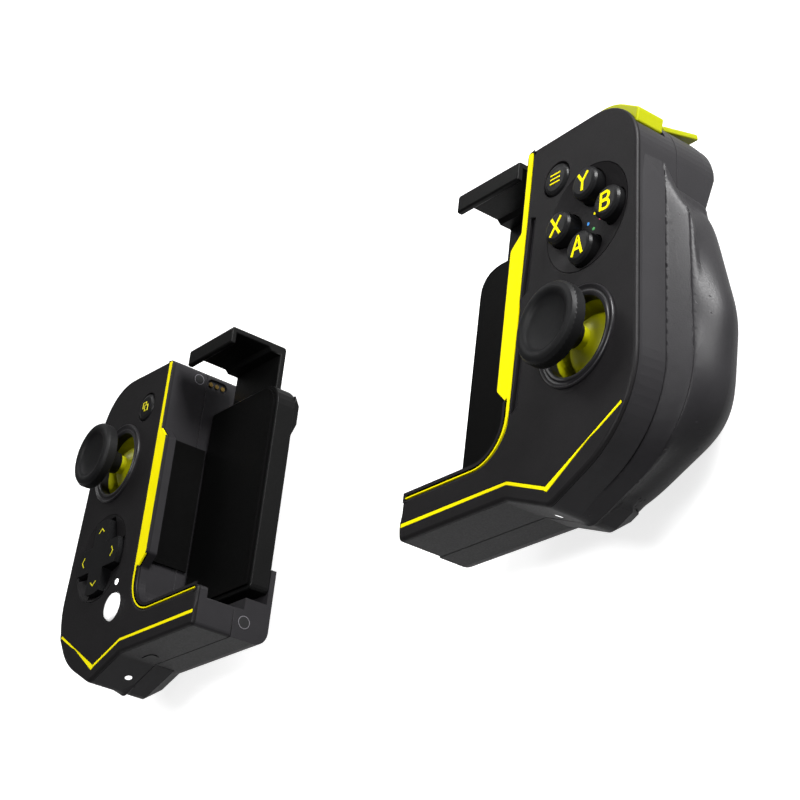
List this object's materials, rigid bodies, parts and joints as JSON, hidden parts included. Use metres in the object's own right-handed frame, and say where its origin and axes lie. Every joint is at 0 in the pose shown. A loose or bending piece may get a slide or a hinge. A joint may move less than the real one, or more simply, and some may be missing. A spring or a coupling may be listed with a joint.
{
  "type": "mobile game controller",
  "caption": "Two clip-on halves that grip a phone end to end, each with a thumbstick, keys, shoulder buttons, a phone arm and a sliding clamp jaw.",
  "frame": {"origin": "middle of the base plane that both grips rest on, centred between the two halves", "axes": "+X to the right along the phone, +Y up towards the shoulder buttons, +Z out of the face"},
  "size_m": [0.2578, 0.0962, 0.0446],
  "materials": {
    "face": "fine soft-touch matte",
    "shell": "fine soft-touch matte",
    "inlay": "satin yellow",
    "clamp_black": "satin black",
    "pad_rubber": "matte black",
    "shoulder_yellow": "satin yellow-green",
    "stick_yellow": "satin dark yellow",
    "stick_rubber": "matte black with a knurled rim",
    "stick_ring": "satin black",
    "key_black": "satin black",
    "home_white": "glossy white",
    "light_white": "milky clear",
    "steel": "bright zinc",
    "board": "green solder mask",
    "battery": "bare film",
    "contact_gold": "bright",
    "pad_silicone": "translucent grey"
  },
  "bodies": {
    "left_module": {"left_face_plate": "face", "left_front_shell": "shell", "left_rear_shell": "shell", "left_inlay": "inlay", "left_back_panel": "clamp_black", "left_phone_pads": "pad_rubber", "left_jaw_spring": "steel", "left_trigger_spring": "steel", "left_stick_ring": "stick_ring", "left_stick_housing": "stick_yellow", "left_main_board": "board", "left_battery": "battery", "left_case_screws": "steel", "left_magnets": "steel", "left_lights": "light_white", "left_switch_pad": "pad_silicone", "dpad_dish": "face", "dpad_base": "key_black", "charge_contacts": "contact_gold"},
    "left_jaw": {"left_clamp_jaw": "clamp_black"},
    "left_bumper_bar": {"left_bumper": "shoulder_yellow"},
    "left_trigger_blade": {"left_trigger": "shoulder_yellow"},
    "left_yoke": {"left_stick_yoke": "steel"},
    "left_rocker": {"left_stick_rocker": "steel"},
    "left_stick": {"left_stick_cap": "stick_rubber", "left_stick_dome": "stick_yellow"},
    "dpad_spider_body": {"dpad_spider": "steel"},
    "dpad_cross_body": {"dpad_cross": "key_black"},
    "view_key": {"view_button": "key_black"},
    "home_key": {"home_button": "home_white"},
    "pairing_key": {"pairing_button": "key_black"},
    "right_module": {"right_face_plate": "face", "right_front_shell": "shell", "right_rear_shell": "shell", "right_inlay": "inlay", "right_back_panel": "clamp_black", "right_phone_pads": "pad_rubber", "right_jaw_spring": "steel", "right_trigger_spring": "steel", "right_stick_ring": "stick_ring", "right_stick_housing": "stick_yellow", "right_main_board": "board", "right_battery": "battery", "right_case_screws": "steel", "right_magnets": "steel", "right_light": "light_white", "right_switch_pad": "pad_silicone", "button_dish": "face"},
    "right_jaw": {"right_clamp_jaw": "clamp_black"},
    "right_bumper_bar": {"right_bumper": "shoulder_yellow"},
    "right_trigger_blade": {"right_trigger": "shoulder_yellow"},
    "right_yoke": {"right_stick_yoke": "steel"},
    "right_rocker": {"right_stick_rocker": "steel"},
    "right_stick": {"right_stick_cap": "stick_rubber", "right_stick_dome": "stick_yellow"},
    "a_key": {"a_button": "key_black"},
    "b_key": {"b_button": "key_black"},
    "x_key": {"x_button": "key_black"},
    "y_key": {"y_button": "key_black"},
    "menu_key": {"menu_button": "key_black"}
  },
  "joints": [
    {"name": "left_jaw_slide", "type": "slide", "parent": "left_module", "child": "left_jaw", "axis": [0, 1, 0], "range_m": [-0.01, 0.0125], "stiffness_N_per_m": 60, "springref_m": -0.01, "deforming": ["left_jaw_spring"]},
    {"name": "left_bumper_hinge", "type": "hinge", "parent": "left_module", "child": "left_bumper_bar", "pos_m": [-0.094, 0.04052, 0.0297], "axis": [0, 0, 1], "range_deg": [0, 1.6], "stiffness_Nm_per_rad": 0.05},
    {"name": "left_trigger_hinge", "type": "hinge", "parent": "left_module", "child": "left_trigger_blade", "pos_m": [-0.09925, 0.04202, 0.0213], "axis": [-1, 0, 0], "range_deg": [0, 14], "stiffness_Nm_per_rad": 0.02, "deforming": ["left_trigger_spring"]},
    {"name": "left_stick_tilt_y", "type": "hinge", "parent": "left_module", "child": "left_yoke", "pos_m": [-0.102, 0.01952, 0.0257], "axis": [1, 0, 0], "range_deg": [-15, 15], "stiffness_Nm_per_rad": 0.03},
    {"name": "left_stick_tilt_x", "type": "hinge", "parent": "left_yoke", "child": "left_rocker", "pos_m": [-0.102, 0.01952, 0.0257], "axis": [0, 1, 0], "range_deg": [-15, 15], "stiffness_Nm_per_rad": 0.03},
    {"name": "left_stick_click", "type": "slide", "parent": "left_rocker", "child": "left_stick", "axis": [0, 0, -1], "range_m": [0, 0.0005], "stiffness_N_per_m": 400},
    {"name": "dpad_tilt_y", "type": "hinge", "parent": "left_module", "child": "dpad_spider_body", "pos_m": [-0.102, -0.00988, 0.0283], "axis": [1, 0, 0], "range_deg": [-3, 3], "stiffness_Nm_per_rad": 0.03},
    {"name": "dpad_tilt_x", "type": "hinge", "parent": "dpad_spider_body", "child": "dpad_cross_body", "pos_m": [-0.102, -0.00988, 0.0283], "axis": [0, 1, 0], "range_deg": [-3, 3], "stiffness_Nm_per_rad": 0.03},
    {"name": "view_press", "type": "slide", "parent": "left_module", "child": "view_key", "axis": [0, 0, -1], "range_m": [0, 0.0006], "stiffness_N_per_m": 400},
    {"name": "home_press", "type": "slide", "parent": "left_module", "child": "home_key", "axis": [0, 0, -1], "range_m": [0, 0.0006], "stiffness_N_per_m": 400},
    {"name": "pairing_press", "type": "slide", "parent": "left_module", "child": "pairing_key", "axis": [0, 1, 0], "range_m": [0, 0.0004], "stiffness_N_per_m": 400},
    {"name": "module_spacing", "type": "slide", "parent": "left_module", "child": "right_module", "axis": [1, 0, 0], "range_m": [-0.086, 0.02]},
    {"name": "right_jaw_slide", "type": "slide", "parent": "right_module", "child": "right_jaw", "axis": [0, 1, 0], "range_m": [-0.01, 0.0125], "stiffness_N_per_m": 60, "springref_m": -0.01, "deforming": ["right_jaw_spring"]},
    {"name": "right_bumper_hinge", "type": "hinge", "parent": "right_module", "child": "right_bumper_bar", "pos_m": [0.094, 0.04052, 0.0297], "axis": [0, 0, -1], "range_deg": [0, 1.6], "stiffness_Nm_per_rad": 0.05},
    {"name": "right_trigger_hinge", "type": "hinge", "parent": "right_module", "child": "right_trigger_blade", "pos_m": [0.09925, 0.04202, 0.0213], "axis": [-1, 0, 0], "range_deg": [0, 14], "stiffness_Nm_per_rad": 0.02, "deforming": ["right_trigger_spring"]},
    {"name": "right_stick_tilt_y", "type": "hinge", "parent": "right_module", "child": "right_yoke", "pos_m": [0.102, -0.00988, 0.0257], "axis": [1, 0, 0], "range_deg": [-15, 15], "stiffness_Nm_per_rad": 0.03},
    {"name": "right_stick_tilt_x", "type": "hinge", "parent": "right_yoke", "child": "right_rocker", "pos_m": [0.102, -0.00988, 0.0257], "axis": [0, 1, 0], "range_deg": [-15, 15], "stiffness_Nm_per_rad": 0.03},
    {"name": "right_stick_click", "type": "slide", "parent": "right_rocker", "child": "right_stick", "axis": [0, 0, -1], "range_m": [0, 0.0005], "stiffness_N_per_m": 400},
    {"name": "a_press", "type": "slide", "parent": "right_module", "child": "a_key", "axis": [0, 0, -1], "range_m": [0, 0.0012], "stiffness_N_per_m": 300},
    {"name": "b_press", "type": "slide", "parent": "right_module", "child": "b_key", "axis": [0, 0, -1], "range_m": [0, 0.0012], "stiffness_N_per_m": 300},
    {"name": "x_press", "type": "slide", "parent": "right_module", "child": "x_key", "axis": [0, 0, -1], "range_m": [0, 0.0012], "stiffness_N_per_m": 300},
    {"name": "y_press", "type": "slide", "parent": "right_module", "child": "y_key", "axis": [0, 0, -1], "range_m": [0, 0.0012], "stiffness_N_per_m": 300},
    {"name": "menu_press", "type": "slide", "parent": "right_module", "child": "menu_key", "axis": [0, 0, -1], "range_m": [0, 0.0006], "stiffness_N_per_m": 400}
  ]
}
